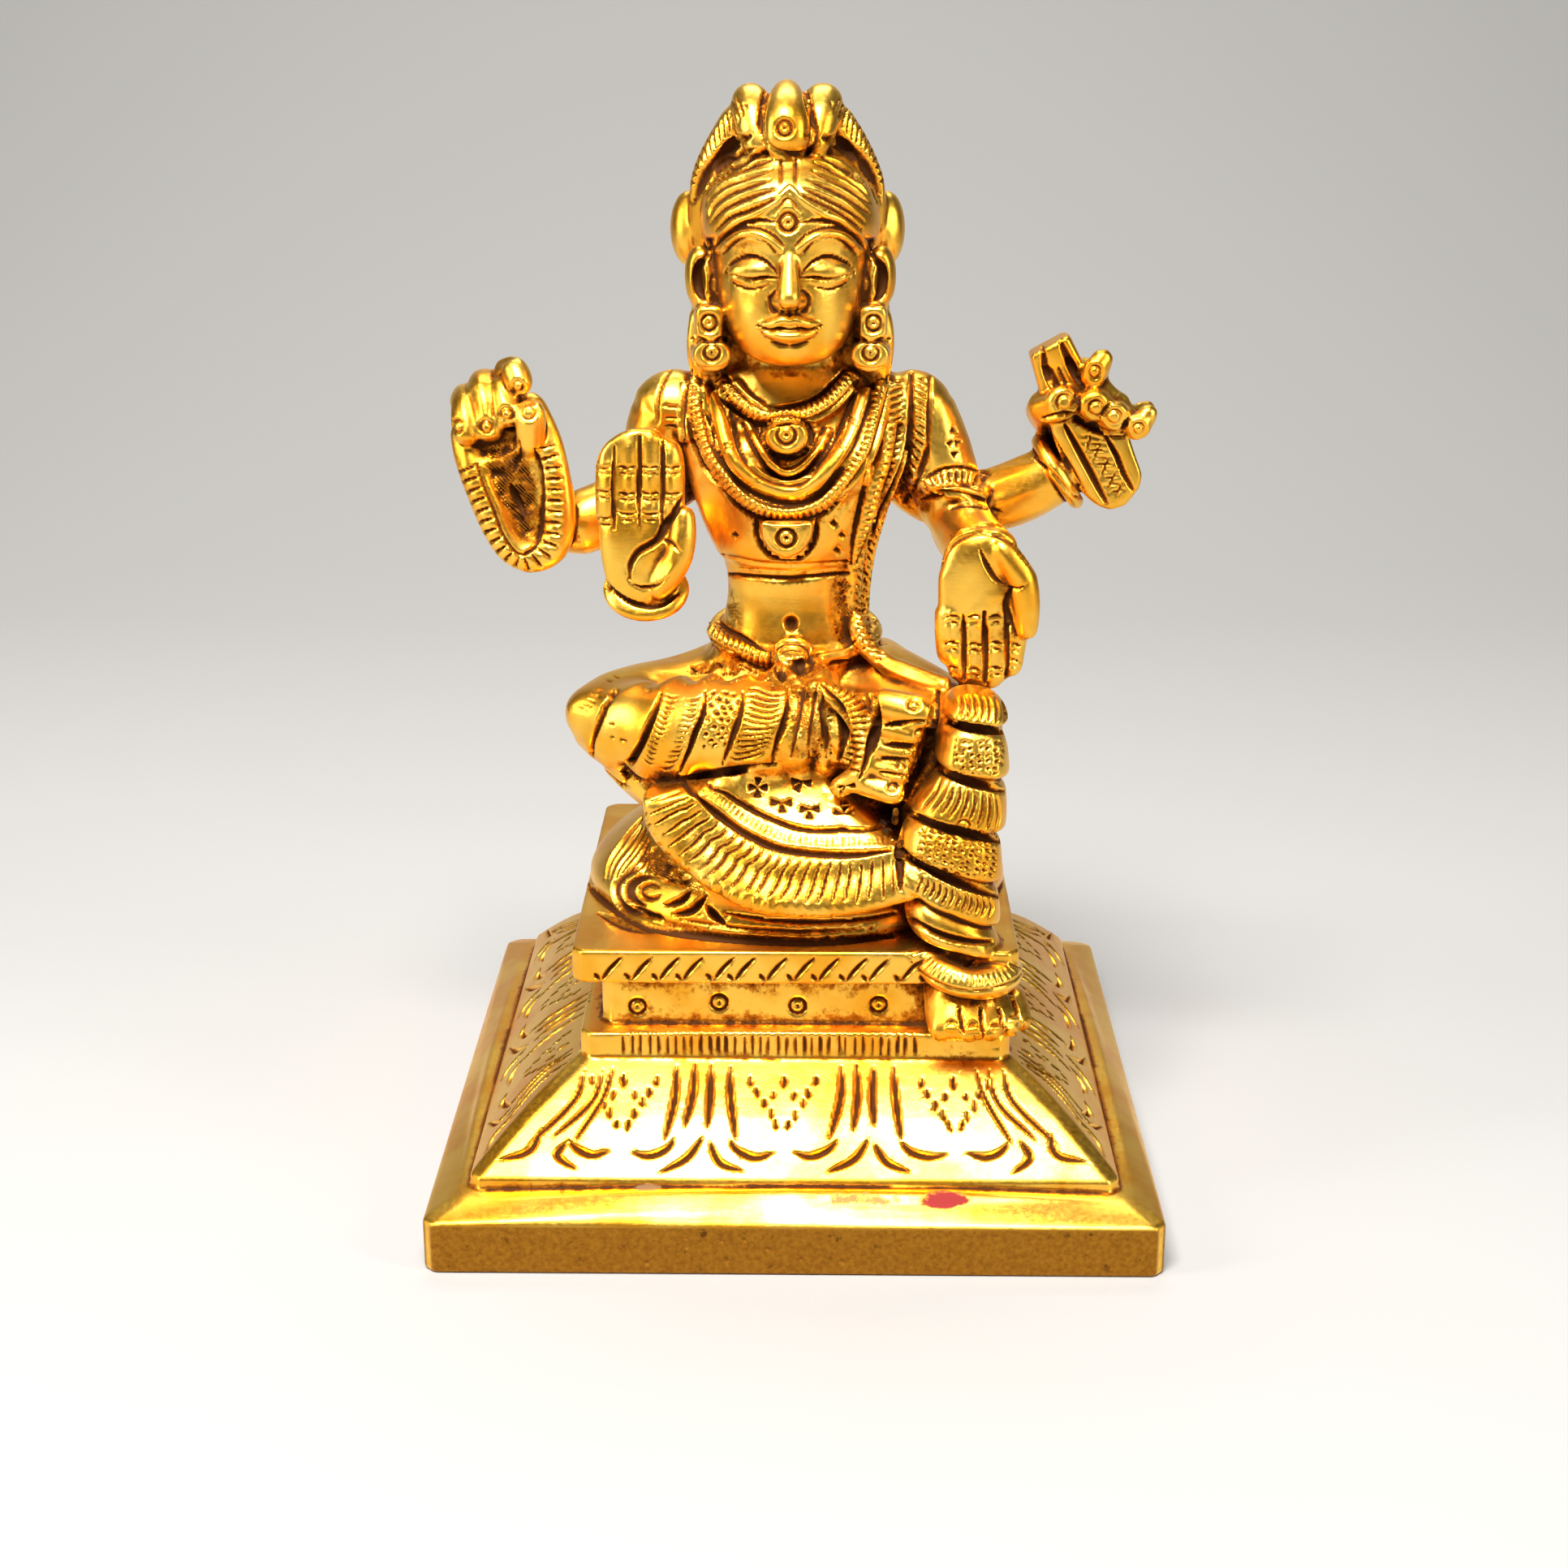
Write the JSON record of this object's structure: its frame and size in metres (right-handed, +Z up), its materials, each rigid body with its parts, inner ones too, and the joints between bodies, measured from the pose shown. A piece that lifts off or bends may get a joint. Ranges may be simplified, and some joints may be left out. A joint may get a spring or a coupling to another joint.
{
  "type": "hindu goddess statue",
  "caption": "Small polished brass idol of a seated four-armed goddess, one leg hanging, on a cushion, seat and square lotus plinth.",
  "frame": {"origin": "centre of the square plinth's flat underside, on the surface that it stands on", "axes": "+Z up from the underside to the crest of the hair; the figure faces -Y; the goddess's left is towards +X"},
  "size_m": [0.062, 0.062, 0.0949],
  "materials": {
    "brass": "polished, with dark red-brown patina left in the chased grooves and hollows"
  },
  "bodies": {
    "root": {"goddess_statue": "brass"}
  },
  "joints": []
}
